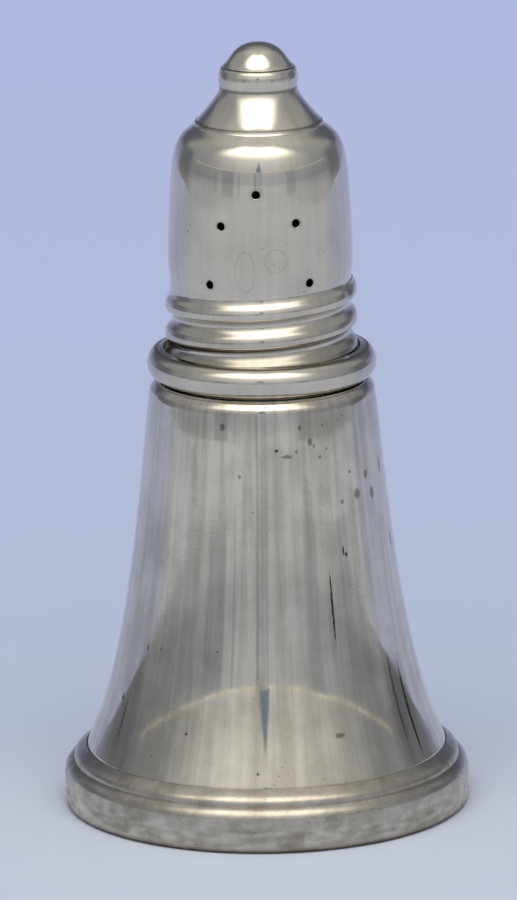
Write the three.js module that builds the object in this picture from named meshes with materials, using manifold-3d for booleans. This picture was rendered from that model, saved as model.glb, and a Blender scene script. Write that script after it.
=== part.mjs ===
// Salt shaker: a weighted pewter bell on a foot ring, with a glass liner and a pierced screw cap.
// Millimetres, +Z up. The origin is the centre of the circle that the shaker stands on.
// The front, where the pour holes are, faces -Y.
import * as THREE from 'three';
import { mergeVertices } from 'three/addons/utils/BufferGeometryUtils.js';
import Module from 'manifold-3d';

const wasm = await Module();
wasm.setup();

// Facets round a full circle, and steps along the curves of an outline
const segments = 36;
const longSteps = 6;
const shortSteps = 3;
const threadSteps = 5; // facets over a bead of the thread
const weldShare = 1e-4; // points closer than this share of the sheet are one point
const holeSides = 12;

// Fits
const clearance = 0.3; // gap between two pieces that sit together
const threadSlack = 0.5; // gap between the cap's skirt and the glass neck, away from the thread
const wellGap = 0.35; // dark gap between the cap's thread and the lip of the collar
const overrun = 2; // how far a cutting tool runs past what it cuts

// Foot ring: a rolled moulding that the bell is soldered into
const footRadius = 30;
const footSheet = 0.8;
const footWallHeight = 4.8; // upright wall
const footEdgeRadius = 0.6; // rounding where the wall meets the table
const footShoulderWidth = 2.2; // rounded shoulder over the wall
const footShoulderHeight = 1.95;
const footCreaseAngle = 71; // degrees above level where the shoulder ends in a crease
const footInnerCorner = 0.9;
const footStep = 3.2; // from the wall in to the lip's inner face
const footLipHeight = 2.66; // lip above the crease
const flangeWidth = 3; // rim turned in under the foot

// Base disc and felt
const discThickness = 0.8;
const feltThickness = 0.6;

// Body: a spun bell
const bodySheet = 0.6;
const bodyHeight = 54.95; // from the foot's lip to the flat shoulder
const bodyCornerWidth = 1.4; // rounded corner at the shoulder
const bodyCornerHeight = 1.45;
const ringOverhang = 0.2; // how far the collar's bead stands out past the bell

// Collar ring: bead outside, well for the cap's skirt inside, spigot through the shoulder
const ringBeadWidth = 1.9; // half the bead's section, across
const ringBeadHeight = 2.25; // and up
const beadInset = 0.5; // from the well's wall out to the bead's centre circle
const beadCreaseAngle = 72; // degrees above level where the bead ends
const collarHeight = 4.57; // from the underside to the top of the lip
const collarLipWidth = 0.3;
const collarLipEdge = 0.12; // small bevel on the lip's inner edge
const wellDepth = 1.62;
const spigotWall = 0.8;
const spigotDepth = 4.3; // how far the spigot reaches down into the bell

// Cap: a spun shell with a rolled thread
const capRadius = 13.56;
const capSheet = 0.5;
const skirtInset = 0.26; // the skirt between the beads is this much smaller than the wall
const capFairingHeight = 3.2; // from the skirt out to the wall
const capWallHeight = 12.5;
const capWallTaper = 0.54; // the wall leans in by this much
const capShoulderHeight = 7.9;
const capStepWidth = 0.22; // small step up from the shoulder to the cone
const capStepHeight = 0.53;
const capCreaseRadius = 9.3; // where the step meets the hollow cone
const capConeHeight = 5;
const capWaistRadius = 5.71;
const bandBulge = 0.14; // the band stands out from the waist
const bandLowerHeight = 1.15;
const bandUpperHeight = 1.8;
const crownRadius = 5.2;

// Thread: right-handed with one start, rolled into the cap's sheet and moulded on the glass.
// Angles are in degrees about +Z from +X, and a thread falls away from its upper end.
const threadPitch = 4.25;
const threadDepth = 0.85;
const threadRise = 9.8; // from the skirt's edge up to the thread at angle 0
const threadLead = 1.7; // plain skirt above the thread
const threadWidthShare = 0.48; // half a bead's width, as a share of the pitch
const glassThreadWidthShare = 0.3;
const threadSink = 0.25; // how deep the root of a thread is sunk in its wall
const threadStart = 20;
const glassThreadStart = -60;
const capRunOut = 20; // degrees over which an end fades out
const glassRunOut = 40;

// Pour holes: degrees round from the front, positive to the right, and shares of the plain wall
const holeRadius = 0.62;
const holeTurns = [-2.5, -25.3, 22.9, -33.6, 32];
const holeHeightShares = [0.96, 0.656, 0.68, 0.09, 0.1];

// Finial: a turned button whose shank is riveted through the crown
const finialHeight = 3.25;
const finialInset = 0.05; // the button is this much smaller than the crown
const shankRadius = 2.1;
const rivetRadius = 3.1;
const rivetThickness = 1;

// Glass liner
const linerWall = 2;
const linerFloor = 2.5;
const linerRimHeight = 1.8; // plain neck above the thread
const linerRimRounding = 0.4;
const linerCorner = 1.5; // outer and inner rounding of the closed end

// Filler that weights the foot and holds the liner
const fillFloor = 11.5; // filler under the liner
const fillHeadroom = 0.95; // from the filler's top to the collar's spigot

// Inner control points of each curve, as shares of the sizes that it spans: [across, along]
const bellCurveShares = [[0.346, 0.705], [0.665, 0.85]];
const lipCurveShares = [[0.13, 0.64], [0.27, 0.67]];
const fairingCurveShares = [[0, 0.4], [1, 0.6]];
const wallCurveShares = [[0, 0.335], [0.444, 0.718]];
const shoulderCurveShares = [[0.14, 0.797], [0.533, 0.801]];
const coneCurveShares = [[0.046, 0], [1, 0.729]];
const buttonCurveShares = [[0.266, 0.206], [0.293, 1]];

// Radii, worked out from the cap's skirt inwards to the liner and outwards to the bell
const skirtRadius = capRadius - skirtInset;
const skirtBore = skirtRadius - capSheet;
const linerRadius = skirtBore - threadSlack;
const linerBore = linerRadius - linerWall;
const collarBore = linerRadius + clearance;
const spigotRadius = collarBore + spigotWall;
const shoulderHoleRadius = spigotRadius + clearance;
const threadCrestRadius = skirtRadius + threadDepth;
const wellRadius = threadCrestRadius + wellGap;
const beadCentreRadius = wellRadius + beadInset;
const bodyTopRadius = beadCentreRadius + ringBeadWidth - ringOverhang;
const footLipRadius = footRadius - footStep;
const footShoulderRadius = footRadius - footShoulderWidth;
const footBore = footRadius - footSheet;
const flangeBore = footRadius - flangeWidth;
const bodyFootRadius = footLipRadius - clearance;
const capShoulderRadius = capRadius - capWallTaper;
const bandRadius = capWaistRadius + bandBulge;
const shankHoleRadius = shankRadius + clearance;
const buttonRadius = crownRadius - finialInset;

// Heights, from the table up
const discBottom = footSheet + clearance;
const feltTop = discBottom - clearance;
const fillBottom = discBottom + discThickness + clearance;
const footCreaseRise = Math.sin(THREE.MathUtils.degToRad(footCreaseAngle));
const footCreaseHeight = footWallHeight + footShoulderHeight * footCreaseRise;
const footInnerTop = footCreaseHeight - footSheet;
const footLipTop = footCreaseHeight + footLipHeight;
const bodyTop = footLipTop + bodyHeight;
const collarSeat = bodyTop + clearance;
const beadCentreHeight = collarSeat + ringBeadHeight;
const collarLipTop = collarSeat + collarHeight;
const wellFloor = collarLipTop - wellDepth;
const spigotBottom = bodyTop - spigotDepth;
const fillTop = spigotBottom - fillHeadroom;
const linerBottom = fillBottom + fillFloor + clearance;
const skirtEdge = wellFloor + clearance;
const threadTop = skirtEdge + threadRise;
const linerTop = threadTop + linerRimHeight;
const plainWallBottom = threadTop + threadLead;
const capWallBottom = plainWallBottom + capFairingHeight;
const capWallTop = capWallBottom + capWallHeight;
const capCreaseHeight = capWallTop + capShoulderHeight;
const capWaistHeight = capCreaseHeight + capConeHeight;
const bandCrestHeight = capWaistHeight + bandLowerHeight;
const crownHeight = bandCrestHeight + bandUpperHeight;
const rivetTop = crownHeight - capSheet - clearance;
const finialSeat = crownHeight + clearance;

// The bead's section is an arc through its crest and the crevices beside it. The groove behind it
// and the glass thread in the groove are arcs about the same centre.
const beadHalfWidth = threadPitch * threadWidthShare;
const beadArcRadius = (beadHalfWidth ** 2 + threadDepth ** 2) / (2 * threadDepth);
const beadArcCentre = threadCrestRadius - beadArcRadius;
const grooveArcRadius = beadArcRadius - capSheet;
const grooveHalfWidth = Math.sqrt(grooveArcRadius ** 2 - (skirtBore - beadArcCentre) ** 2);
const glassArcRadius = grooveArcRadius - clearance;
const glassHalfWidth = threadPitch * glassThreadWidthShare;

// A curve between two outline points, [radius, height] each, bent by shares of its two spans
function curve(from, to, shares, steps) {
  const place = ([across, along]) => new THREE.Vector2(
    from[0] + (to[0] - from[0]) * across,
    from[1] + (to[1] - from[1]) * along,
  );
  const bend = new THREE.CubicBezierCurve(place([0, 0]), place(shares[0]), place(shares[1]), place([1, 1]));
  return bend.getPoints(steps).map((point) => [point.x, point.y]);
}

// Part of an ellipse about an outline point, between two angles in degrees above level
function arc(centre, across, up, fromDegrees, toDegrees, steps) {
  return Array.from({ length: steps + 1 }, (_, i) => {
    const angle = THREE.MathUtils.degToRad(fromDegrees + (toDegrees - fromDegrees) * i / steps);
    return [centre[0] + across * Math.cos(angle), centre[1] + up * Math.sin(angle)];
  });
}

// Leaves out points that repeat the one before
function withoutRepeats(outline) {
  const same = (a, b) => a[0] === b[0] && a[1] === b[1];
  return outline.filter((point, i) => i === 0 || !same(point, outline[i - 1]));
}

// The inner face of a sheet whose outer face is an outline walked upwards
function inset(outline, sheet) {
  const path = withoutRepeats(outline);
  const last = path.length - 1;
  const inward = (i) => {
    const [a, b] = [path[i], path[i + 1]];
    const length = Math.hypot(b[0] - a[0], b[1] - a[1]);
    return [(a[1] - b[1]) / length, (b[0] - a[0]) / length];
  };
  return path.map((point, i) => {
    const before = inward(Math.max(i - 1, 0));
    const after = inward(Math.min(i, last - 1));
    const sum = [before[0] + after[0], before[1] + after[1]];
    const reach = 2 * sheet / (sum[0] ** 2 + sum[1] ** 2);
    return [point[0] + sum[0] * reach, point[1] + sum[1] * reach];
  });
}

// Outer and inner face of a sheet as one closed outline
function sheetOutline(outer, inner) {
  return [...outer, ...inner.reverse()];
}

// Where an outline that runs upwards passes a height
function radiusAt(outline, height) {
  const i = outline.findIndex((point, k) => k > 0 && point[1] > height);
  const [low, high] = [outline[i - 1], outline[i]];
  return low[0] + (high[0] - low[0]) * (height - low[1]) / (high[1] - low[1]);
}

// Turns a closed outline, walked anticlockwise, round the Z axis. An outline that starts and ends
// on the axis is closed by it.
function revolve(outline) {
  const path = withoutRepeats(outline);
  const endsOnAxis = path[0][0] === 0 && path[path.length - 1][0] === 0;
  const profile = endsOnAxis ? path : [...path, path[0]];
  const geometry = new THREE.LatheGeometry(profile.map(([r, z]) => new THREE.Vector2(r, z)), segments);
  return geometry.rotateX(Math.PI / 2);
}

// A rod of round section about an axis that starts at the origin and points along +Z
function rod(radius, from, to, sides) {
  const geometry = new THREE.CylinderGeometry(radius, radius, to - from, sides);
  return geometry.rotateX(Math.PI / 2).translate(0, 0, (from + to) / 2);
}

// Section of a thread, as [radius, offset along Z]: an arc on straight flanks
function threadSection(rootRadius, arcRadius, halfWidth) {
  const spread = THREE.MathUtils.radToDeg(Math.asin(halfWidth / arcRadius));
  const crest = arc([beadArcCentre, 0], arcRadius, arcRadius, -spread, spread, threadSteps);
  return [[rootRadius, halfWidth], [rootRadius, -halfWidth], ...crest];
}

// A thread wound round the Z axis between two angles. Its section shrinks to its root at both ends.
function windThread(section, fromDegrees, toDegrees, runOut) {
  const stepAngle = 360 / segments;
  const steps = Math.ceil((toDegrees - fromDegrees) / stepAngle);
  const rootRadius = section[0][0];
  const count = section.length;
  const positions = [];
  const faces = [];
  for (let i = 0; i <= steps; i += 1) {
    const degrees = Math.max(toDegrees - (steps - i) * stepAngle, fromDegrees);
    const angle = THREE.MathUtils.degToRad(degrees);
    const toEnd = Math.min(degrees - fromDegrees, toDegrees - degrees);
    const fullness = Math.min(Math.sqrt(toEnd / runOut + 1 / 4), 1);
    for (const [radius, offset] of section) {
      const r = rootRadius + (radius - rootRadius) * fullness;
      const z = threadTop + threadPitch * degrees / 360 + offset * fullness;
      positions.push(r * Math.cos(angle), r * Math.sin(angle), z);
    }
  }
  for (let i = 0; i < steps; i += 1) {
    for (let k = 0; k < count; k += 1) {
      const here = i * count + k;
      const beside = i * count + (k + 1) % count;
      faces.push(here, beside + count, beside, here, here + count, beside + count);
    }
  }
  const end = steps * count;
  for (let k = 1; k < count - 1; k += 1) {
    faces.push(0, k, k + 1, end, end + k + 1, end + k);
  }
  const geometry = new THREE.BufferGeometry();
  geometry.setAttribute('position', new THREE.Float32BufferAttribute(positions, 3));
  geometry.setIndex(faces);
  return geometry;
}

// Welds corners that lie together, and leaves out the faces that this closes up
function weld(geometry, tolerance) {
  const shell = geometry.clone();
  shell.deleteAttribute('normal');
  shell.deleteAttribute('uv');
  const welded = mergeVertices(shell, tolerance);
  const corners = Array.from(welded.index.array);
  const faces = [];
  for (let i = 0; i < corners.length; i += 3) {
    const [a, b, c] = corners.slice(i, i + 3);
    if (a !== b && b !== c && c !== a) faces.push(a, b, c);
  }
  welded.setIndex(faces);
  return welded;
}

// A closed geometry as a solid for joining and cutting
function solidOf(geometry) {
  const welded = weld(geometry, capSheet * weldShare);
  return new wasm.Manifold(new wasm.Mesh({
    numProp: 3,
    vertProperties: new Float32Array(welded.attributes.position.array),
    triVerts: new Uint32Array(welded.index.array),
  }));
}

// A joined and cut solid as a geometry again
function geometryOf(solid) {
  const mesh = solid.getMesh();
  const geometry = new THREE.BufferGeometry();
  geometry.setAttribute('position', new THREE.BufferAttribute(mesh.vertProperties, 3));
  geometry.setIndex(new THREE.BufferAttribute(mesh.triVerts, 1));
  const welded = weld(geometry, capSheet * weldShare);
  welded.computeVertexNormals();
  return welded;
}

// Foot ring: flange on the table, upright wall, rounded shoulder, crease, and the lip round the bell
function footRing() {
  const edgeCentre = [footRadius - footEdgeRadius, footEdgeRadius];
  const shoulderCentre = [footShoulderRadius, footWallHeight];
  const shoulder = arc(shoulderCentre, footShoulderWidth, footShoulderHeight, 0, footCreaseAngle, shortSteps);
  const crease = shoulder[shoulder.length - 1];
  return revolve([
    [flangeBore, 0],
    ...arc(edgeCentre, footEdgeRadius, footEdgeRadius, -90, 0, 2),
    ...shoulder,
    ...curve(crease, [footLipRadius, footLipTop], lipCurveShares, shortSteps).slice(1),
    [footLipRadius, footInnerTop],
    [footBore - footInnerCorner, footInnerTop],
    [footBore, footInnerTop - footInnerCorner],
    [footBore, footSheet],
    [flangeBore, footSheet],
  ]);
}

// Disc that closes the foot, laid on the flange from inside
function baseDisc() {
  return rod(footBore - clearance, discBottom, discBottom + discThickness, segments);
}

// Felt glued under the disc, inside the flange and clear of the table
function feltPad() {
  return rod(flangeBore - clearance, feltTop - feltThickness, feltTop, segments);
}

// Outer face of the bell, from its edge inside the foot ring up to the hole in its shoulder
function bellOutline() {
  const cornerBottom = bodyTop - bodyCornerHeight;
  const bell = curve([bodyTopRadius, cornerBottom], [bodyFootRadius, footLipTop], bellCurveShares, longSteps);
  const cornerCentre = [bodyTopRadius - bodyCornerWidth, cornerBottom];
  return [
    [bodyFootRadius, footInnerTop],
    ...bell.reverse(),
    ...arc(cornerCentre, bodyCornerWidth, bodyCornerHeight, 0, 90, shortSteps).slice(1),
    [shoulderHoleRadius, bodyTop],
  ];
}

function bodyShell() {
  const outer = bellOutline();
  return revolve(sheetOutline(outer, inset(outer, bodySheet)));
}

// Filler: wide in the foot, following the bell's inside, with a pocket that fits the liner
function weightFill() {
  const side = inset(bellOutline(), bodySheet + clearance);
  const radius = footBore - clearance;
  const ledge = footInnerTop - clearance;
  const pocketCorner = [linerRadius - linerCorner, linerBottom + linerCorner];
  const pocketRounding = linerCorner + clearance;
  return revolve([
    [0, fillBottom],
    [radius, fillBottom],
    [radius, ledge - footInnerCorner],
    [radius - footInnerCorner, ledge],
    [side[0][0], ledge],
    ...side.filter(([, height]) => height > ledge && height < fillTop),
    [radiusAt(side, fillTop), fillTop],
    [linerRadius + clearance, fillTop],
    ...arc(pocketCorner, pocketRounding, pocketRounding, 0, -90, shortSteps),
    [0, linerBottom - clearance],
  ]);
}

// Collar ring: spigot in the shoulder's hole, bead on the shoulder, lip and well for the cap
function collarRing() {
  const beadCentre = [beadCentreRadius, beadCentreHeight];
  return revolve([
    [collarBore, spigotBottom],
    [spigotRadius, spigotBottom],
    [spigotRadius, collarSeat],
    ...arc(beadCentre, ringBeadWidth, ringBeadHeight, -90, beadCreaseAngle, longSteps),
    [wellRadius + collarLipWidth, collarLipTop],
    [wellRadius + collarLipEdge, collarLipTop],
    [wellRadius, collarLipTop - collarLipEdge],
    [wellRadius, wellFloor],
    [collarBore, wellFloor],
  ]);
}

// Glass liner: a straight vial with a closed end, a rounded rim and a moulded thread on its neck
function glassLiner() {
  const rimHeight = linerTop - linerRimRounding;
  const outerRim = [linerRadius - linerRimRounding, rimHeight];
  const innerRim = [linerBore + linerRimRounding, rimHeight];
  const floorTop = linerBottom + linerFloor;
  const outerCorner = [linerRadius - linerCorner, linerBottom + linerCorner];
  const innerCorner = [linerBore - linerCorner, floorTop + linerCorner];
  const vial = revolve([
    [0, linerBottom],
    ...arc(outerCorner, linerCorner, linerCorner, -90, 0, shortSteps),
    ...arc(outerRim, linerRimRounding, linerRimRounding, 0, 90, 2),
    ...arc(innerRim, linerRimRounding, linerRimRounding, 90, 180, 2),
    ...arc(innerCorner, linerCorner, linerCorner, 0, -90, shortSteps),
    [0, floorTop],
  ]);
  const section = threadSection(linerRadius - threadSink, glassArcRadius, glassHalfWidth);
  const lowerEnd = -360 * (threadRise - beadHalfWidth) / threadPitch;
  const thread = windThread(section, lowerEnd, glassThreadStart, glassRunOut);
  return geometryOf(solidOf(vial).add(solidOf(thread)));
}

// Outer face of the cap, from the skirt's edge up to the hole in its crown, with a given band
function capOutline(band) {
  const shoulderStart = [capShoulderRadius, capWallTop];
  const stepFoot = [capCreaseRadius + capStepWidth, capCreaseHeight - capStepHeight];
  const crease = [capCreaseRadius, capCreaseHeight];
  return [
    [skirtRadius, skirtEdge],
    ...curve([skirtRadius, plainWallBottom], [capRadius, capWallBottom], fairingCurveShares, shortSteps),
    ...curve([capRadius, capWallBottom], shoulderStart, wallCurveShares, shortSteps).slice(1),
    ...curve(shoulderStart, stepFoot, shoulderCurveShares, longSteps).slice(1),
    ...curve(crease, [capWaistRadius, capWaistHeight], coneCurveShares, shortSteps),
    ...band,
    [shankHoleRadius, crownHeight],
  ];
}

// Spun sheet with the band outside, and a plain chord behind the band inside
function capSheetShell() {
  const bandCentre = [crownRadius, bandCrestHeight];
  const outerBand = arc(bandCentre, bandRadius - crownRadius, bandUpperHeight, 0, 90, shortSteps);
  const innerBand = [[bandRadius, bandCrestHeight], [crownRadius, crownHeight]];
  return revolve(sheetOutline(capOutline(outerBand), inset(capOutline(innerBand), capSheet)));
}

// A drill through the cap's wall, square to the axis, turned from the front by an angle in degrees
function pourHole(turn, heightShare) {
  const height = plainWallBottom + (capWallTop - plainWallBottom) * heightShare;
  const drill = rod(holeRadius, capShoulderRadius - capSheet - overrun, capRadius + overrun, holeSides);
  return drill.rotateX(Math.PI / 2).rotateZ(THREE.MathUtils.degToRad(turn)).translate(0, 0, height);
}

// Cap: the sheet with the thread's bead rolled out of its skirt, and the pour holes
function capShell() {
  const lowerEnd = -360 * (threadRise + beadHalfWidth) / threadPitch;
  const beadSection = threadSection(skirtRadius - threadSink, beadArcRadius, beadHalfWidth);
  const grooveSection = threadSection(skirtBore - threadSink, grooveArcRadius, grooveHalfWidth);
  const bead = windThread(beadSection, lowerEnd, threadStart, capRunOut);
  const groove = windThread(grooveSection, lowerEnd, threadStart, capRunOut);
  const below = rod(threadCrestRadius + overrun, skirtEdge - threadPitch - overrun, skirtEdge, segments);
  let shell = solidOf(capSheetShell()).add(solidOf(bead).subtract(solidOf(below)));
  for (const tool of [groove, ...holeTurns.map((turn, i) => pourHole(turn, holeHeightShares[i]))]) {
    shell = shell.subtract(solidOf(tool));
  }
  return geometryOf(shell);
}

// Finial: pointed button over the crown, shank through it, and the peened rivet head inside
function finial() {
  return revolve([
    [0, rivetTop - rivetThickness],
    [rivetRadius, rivetTop - rivetThickness],
    [rivetRadius, rivetTop],
    [shankRadius, rivetTop],
    [shankRadius, finialSeat],
    ...curve([buttonRadius, finialSeat], [0, finialSeat + finialHeight], buttonCurveShares, longSteps),
  ]);
}

const pewter = { color: 0xa39f99, roughness: 0.32, metalness: 1 };
const castPewter = { color: 0x9b968d, roughness: 0.38, metalness: 1 };
const tinnedSteel = { color: 0x8d8e8f, roughness: 0.5, metalness: 1 };
const glass = { color: 0xdfe6e4, roughness: 0.05, metalness: 0, transparent: true, opacity: 0.35 };
const pitch = { color: 0x6b6155, roughness: 0.9, metalness: 0 };
const felt = { color: 0x2f4236, roughness: 1, metalness: 0 };

const shaker = new THREE.Group();

function addPiece(name, geometry, finish) {
  const piece = new THREE.Mesh(geometry, new THREE.MeshStandardMaterial(finish));
  piece.name = name;
  shaker.add(piece);
}

addPiece('foot_ring', footRing(), castPewter);
addPiece('base_disc', baseDisc(), tinnedSteel);
addPiece('felt_pad', feltPad(), felt);
addPiece('body_shell', bodyShell(), pewter);
addPiece('weight_fill', weightFill(), pitch);
addPiece('collar_ring', collarRing(), castPewter);
addPiece('glass_liner', glassLiner(), glass);
addPiece('cap_shell', capShell(), pewter);
addPiece('finial', finial(), castPewter);

export default shaker;
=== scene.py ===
"""Looks of a weighted pewter salt shaker, modelled around its fixed frame."""

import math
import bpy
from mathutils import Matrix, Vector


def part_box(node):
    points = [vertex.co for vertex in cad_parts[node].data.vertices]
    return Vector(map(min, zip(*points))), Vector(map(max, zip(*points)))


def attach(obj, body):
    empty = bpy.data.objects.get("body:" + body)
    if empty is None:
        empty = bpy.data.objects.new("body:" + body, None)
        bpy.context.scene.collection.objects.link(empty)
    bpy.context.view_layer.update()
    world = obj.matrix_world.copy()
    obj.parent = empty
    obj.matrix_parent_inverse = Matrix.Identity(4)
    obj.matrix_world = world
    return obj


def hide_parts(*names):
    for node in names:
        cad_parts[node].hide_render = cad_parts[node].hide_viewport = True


bl_info = {
    "name": "Pewter Salt Shaker",
    "version": (1, 0, 0),
    "blender": (4, 5, 0),
    "location": "View3D > Sidebar > Shaker",
    "description": "Turns, threads and finishes the pieces of a pewter table salt shaker",
    "category": "Object",
}

import bmesh
import bpy
from bpy.props import FloatProperty, FloatVectorProperty, PointerProperty
from mathutils import Matrix, Vector, geometry, noise
from numpy import interp

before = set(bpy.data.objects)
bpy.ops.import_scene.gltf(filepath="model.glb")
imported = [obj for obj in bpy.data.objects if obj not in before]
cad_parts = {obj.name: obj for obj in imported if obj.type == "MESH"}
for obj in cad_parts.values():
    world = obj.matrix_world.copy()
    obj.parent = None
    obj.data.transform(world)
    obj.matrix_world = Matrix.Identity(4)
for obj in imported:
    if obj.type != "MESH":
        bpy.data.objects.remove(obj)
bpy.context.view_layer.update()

MM = 0.001
WELD = 0.001 * MM  # corners closer than this are one
SPIN_STEPS = 192  # facets round a turned piece
FINE_STEPS = 144  # facets round a small piece, and round one whose outline is very fine
SHARP_EDGE = math.radians(40)  # edges that turn more than this stay crisp
MIX_FIRST, MIX_SECOND, MIXED = 6, 7, 2  # sockets of a Mix node that mixes colours

# Lowest and highest corner of each piece of the frame
_, FOOT_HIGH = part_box("foot_ring")
DISC_LOW, DISC_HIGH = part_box("base_disc")
FELT_LOW, FELT_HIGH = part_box("felt_pad")
BODY_LOW, BODY_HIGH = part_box("body_shell")
COLLAR_LOW, COLLAR_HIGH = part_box("collar_ring")
LINER_LOW, LINER_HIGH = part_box("glass_liner")
CAP_LOW, CAP_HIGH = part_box("cap_shell")
BUTTON_LOW, BUTTON_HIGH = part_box("finial")

# Inner control points of each curve, as shares of the steps that it spans: (across, along)
BELL_SHARES = ((0.346, 0.705), (0.665, 0.85))
LIP_SHARES = ((0.07, 0.38), (0.09, 0.5))
CORNER_SHARES = ((0.12, 0.3), (0.7, 0.85))
FAIRING_SHARES = ((0, 0.4), (1, 0.6))
WALL_SHARES = ((0, 0.335), (0.444, 0.718))
SHOULDER_SHARES = ((0.14, 0.797), (0.533, 0.801))
CONE_SHARES = ((0.046, 0), (1, 0.729))
BUTTON_SHARES = ((0.2, 0.22), (0.293, 1))
FIRST_FLANK_SHARES = ((0.2, 0.17), (1, 0.45))
HOLLOW_SHARES = ((0.6, 0.1), (1, 0.5))
FLANK_SHARES = ((0, 0.45), (0.78, 0.742))

# Pour holes: degrees round from the front, positive to the right, and shares of the plain wall
HOLES = ((-2.5, 0.96), (-25.3, 0.656), (22.9, 0.68), (-33.6, 0.09), (32, 0.1))

# Marks of use, as degrees round from the front, height in mm, half the width in degrees and half
# the height in mm: soft stains and dark nicks on the bell, and rims of dried drops on the cap
STAINS = (
    (24, 58.4, 1.4, 0.6), (26, 57.8, 0.8, 0.3), (46, 53, 1, 0.3), (58, 52, 1.8, 0.7),
    (50, 49.6, 2.2, 0.8), (62, 49, 1.8, 1), (40, 49, 1.2, 0.3), (-11, 53.7, 1, 0.4),
    (74, 52.5, 1.5, 1.5), (-20, 60.8, 1.6, 0.6), (19, 60.6, 1, 0.4), (29, 56, 1, 0.25),
    (33, 57.2, 0.6, 0.2), (17, 57.2, 0.9, 0.25), (12, 56.5, 3, 0.3), (56, 19, 0.8, 7),
    (27, 15.7, 2, 0.4),
)
NICKS = (
    (7, 57.5, 1.2, 0.25), (77, 41, 1, 1.4), (38, 41.8, 0.6, 0.8), (39.5, 41.2, 0.8, 0.4),
    (30, 34, 0.6, 6), (62, 17, 0.8, 8), (-54, 27, 0.8, 0.5), (-46, 27.3, 0.7, 0.4),
    (-19, 28, 0.8, 0.3), (-65, 18.8, 1, 0.8), (-29, 16, 0.8, 0.25), (-2.5, 11.2, 0.7, 0.25),
    (-61, 15.5, 0.7, 5),
)
DRIED_DROPS = ((-9.5, 83.2, 6, 3), (10, 84.8, 6.8, 1.7))

# Light from the room, as degrees above level and linear red, green and blue
ZENITH = (90, 0.6, 0.6, 0.61)
FRONT_WALL = (
    (-20, 0.53, 0.57, 0.62), (-0.3, 0.52, 0.555, 0.61), (-0.1, 0.42, 0.46, 0.53),
    (9.7, 0.46, 0.49, 0.55), (10.2, 0.56, 0.58, 0.62), (25, 0.75, 0.77, 0.8),
    (78, 0.9, 0.89, 0.88), ZENITH,
)
SIDE_WALLS = (
    (-20, 0.46, 0.49, 0.55), (-5, 0.4, 0.42, 0.48), (-2.5, 0.32, 0.35, 0.41),
    (-0.3, 0.3, 0.32, 0.38), (-0.1, 0.25, 0.27, 0.33), (15, 0.29, 0.31, 0.36),
    (30, 0.32, 0.34, 0.38), (48, 0.37, 0.38, 0.4), (78, 0.66, 0.67, 0.69), ZENITH,
)
REAR_WALL = (
    (-20, 0.38, 0.45, 0.64), (0, 0.3, 0.33, 0.5), (7, 0.25, 0.28, 0.42),
    (14, 0.1, 0.12, 0.17), (40, 0.14, 0.15, 0.18), (55, 0.32, 0.33, 0.36), ZENITH,
)
LAMP = (2.1, 2.04, 1.94, 1)
DARK_CORNER = (0.15, 0.17, 0.21, 1)
STAND = (0.1, 0.13, 0.17, 1)
TRIM = (0.72, 0.7, 0.62, 1)
GUSSET = (0.19, 0.27, 0.39, 1)

# Narrow dark stands in front of the shaker, as degrees round from the front, half the width in
# degrees and how dark they are
STANDS = (
    (-27, 0.7, 0.3), (-6, 1, 0.4), (-1, 0.6, 0.25), (2, 0.5, 0.35), (-42, 6, 0.35), (41, 5, 0.3),
    (-60, 2, 0.2),
)


def linear(hex_colour):
    """Linear RGBA of an sRGB colour such as D4CEC1."""
    shares = [int(hex_colour[i:i + 2], 16) / 255 for i in (0, 2, 4)]
    return [s / 12.92 if s <= 0.04045 else ((s + 0.055) / 1.055) ** 2.4 for s in shares] + [1]


def length(name, description, millimetres):
    """A property that holds a length."""
    return FloatProperty(
        name=name, description=description, default=millimetres * MM, min=0, precision=5, unit="LENGTH"
    )


def angle(name, description, degrees):
    """A property that holds an angle."""
    return FloatProperty(
        name=name, description=description, default=math.radians(degrees), subtype="ANGLE"
    )


def colour(name, description, hex_colour):
    """A property that holds a colour."""
    return FloatVectorProperty(
        name=name, description=description, default=linear(hex_colour),
        size=4, min=0, max=1, subtype="COLOR",
    )


class ShakerFoot(bpy.types.PropertyGroup):
    """Sizes of the rolled moulding that the shaker stands on."""

    radius: length("Radius", "Outside of the upright wall", FOOT_HIGH.x / MM)
    sheet: length("Sheet", "Thickness of the metal", 0.8)
    wall_height: length("Wall height", "Upright wall above the table", 4.8)
    edge_rounding: length("Edge rounding", "Rounding where the wall meets the table", 0.6)
    shoulder_width: length("Shoulder width", "Rounded shoulder, measured across", 2.2)
    shoulder_height: length("Shoulder height", "Rounded shoulder, measured up", 2.1)
    crease_angle: angle("Crease angle", "Where the shoulder ends, above level", 68)
    lip_drop: length("Lip drop", "Worn top of the lip, below the frame's", 0.45)
    flange_width: length("Flange width", "Rim turned in on the table", 3)
    lip_gap: length("Lip gap", "Hairline between the lip and the bell", 0.02)
    lip_rounding: length("Lip rounding", "Rounded top of the lip", 0.1)


class ShakerBody(bpy.types.PropertyGroup):
    """Sizes of the spun bell."""

    foot_radius: length("Foot radius", "Outside at the foot ring", BODY_HIGH.x / MM + 0.18)
    top_radius: length("Top radius", "Outside under the rounded corner", 16.7)
    corner_width: length("Corner width", "Rounded corner, measured across", 1.2)
    corner_height: length("Corner height", "Rounded corner, measured up", 1.3)
    ease_height: length("Ease height", "Where the bell leans in a little more under the corner", 3.65)
    ease_depth: length("Ease depth", "How far it leans in there", 0.12)
    sheet: length("Sheet", "Thickness of the metal", 0.6)
    hole_radius: length("Hole radius", "Hole in the shoulder for the collar's spigot", 13.7)


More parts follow.
